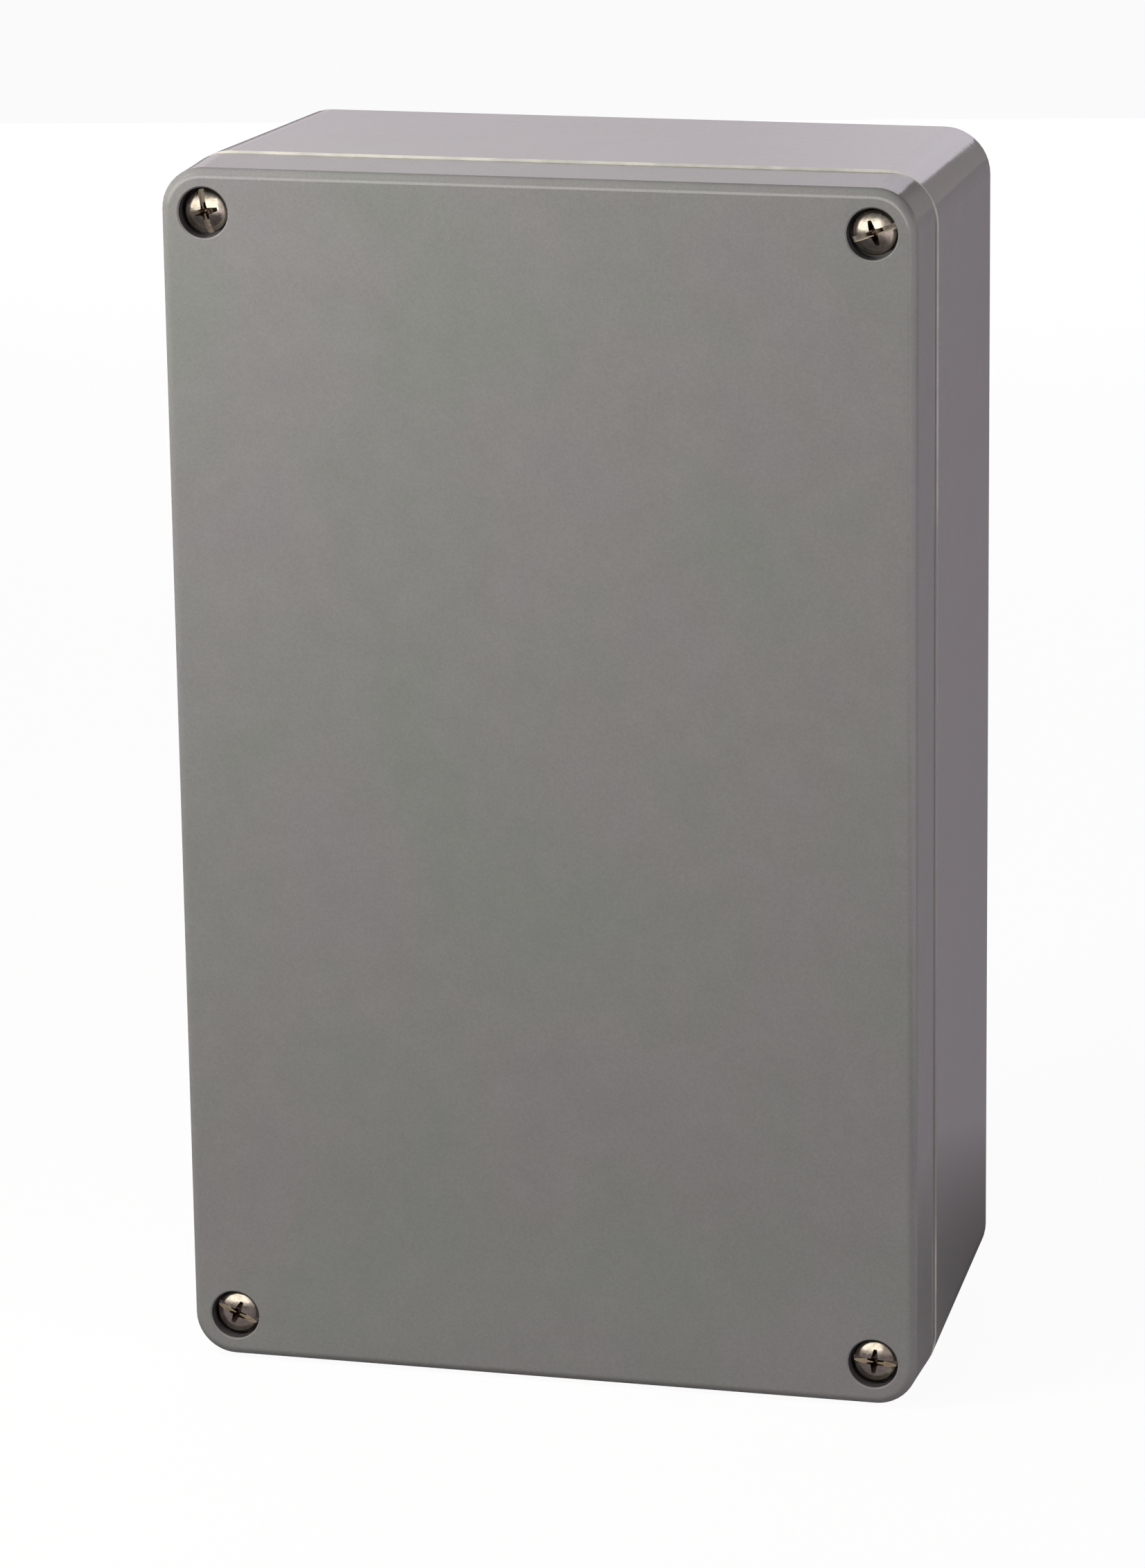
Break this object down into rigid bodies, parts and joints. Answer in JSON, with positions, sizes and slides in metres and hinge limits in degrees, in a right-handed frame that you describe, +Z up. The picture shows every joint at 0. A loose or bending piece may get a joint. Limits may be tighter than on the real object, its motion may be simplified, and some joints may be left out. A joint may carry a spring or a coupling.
{
  "type": "polyester enclosure",
  "caption": "Wall-mounted grey polyester junction enclosure with a deep base, a flat screwed lid on a foam gasket, captive corner screws and inner mounting bosses.",
  "frame": {"origin": "centre of the back face, in the plane that lies against the wall", "axes": "+Y into the wall, so the lid faces -Y; +X to the right of someone who looks at the lid; +Z up, along the long side"},
  "size_m": [0.16, 0.09, 0.26],
  "materials": {
    "enclosure_grey": "semi-gloss moulded glass-fibre polyester, faintly mottled",
    "gasket_foam": "matt foamed rubber",
    "screw_steel": "bright stainless steel, turned",
    "ring_plastic": "natural nylon, satin",
    "bush_brass": "turned brass, satin"
  },
  "bodies": {
    "base": {"base": "enclosure_grey", "lid_bush_top_left": "bush_brass", "lid_bush_top_right": "bush_brass", "lid_bush_bottom_left": "bush_brass", "lid_bush_bottom_right": "bush_brass", "plate_bush_1": "bush_brass", "plate_bush_2": "bush_brass", "plate_bush_3": "bush_brass", "plate_bush_4": "bush_brass", "plate_bush_5": "bush_brass", "plate_bush_6": "bush_brass"},
    "lid": {"lid": "enclosure_grey", "gasket": "gasket_foam"},
    "screw_top_left": {"lid_screw_top_left": "screw_steel", "captive_ring_top_left": "ring_plastic"},
    "screw_top_right": {"lid_screw_top_right": "screw_steel", "captive_ring_top_right": "ring_plastic"},
    "screw_bottom_left": {"lid_screw_bottom_left": "screw_steel", "captive_ring_bottom_left": "ring_plastic"},
    "screw_bottom_right": {"lid_screw_bottom_right": "screw_steel", "captive_ring_bottom_right": "ring_plastic"}
  },
  "joints": [
    {"name": "lid_lift", "type": "slide", "parent": "base", "child": "lid", "axis": [0, -1, 0], "range_m": [0, 0.06]},
    {"name": "screw_top_left_turn", "type": "hinge", "parent": "lid", "child": "screw_top_left", "pos_m": [-0.07, -0.085, 0.12], "axis": [0, -1, 0], "continuous": true},
    {"name": "screw_top_right_turn", "type": "hinge", "parent": "lid", "child": "screw_top_right", "pos_m": [0.07, -0.085, 0.12], "axis": [0, -1, 0], "continuous": true},
    {"name": "screw_bottom_left_turn", "type": "hinge", "parent": "lid", "child": "screw_bottom_left", "pos_m": [-0.07, -0.085, -0.12], "axis": [0, -1, 0], "continuous": true},
    {"name": "screw_bottom_right_turn", "type": "hinge", "parent": "lid", "child": "screw_bottom_right", "pos_m": [0.07, -0.085, -0.12], "axis": [0, -1, 0], "continuous": true}
  ]
}
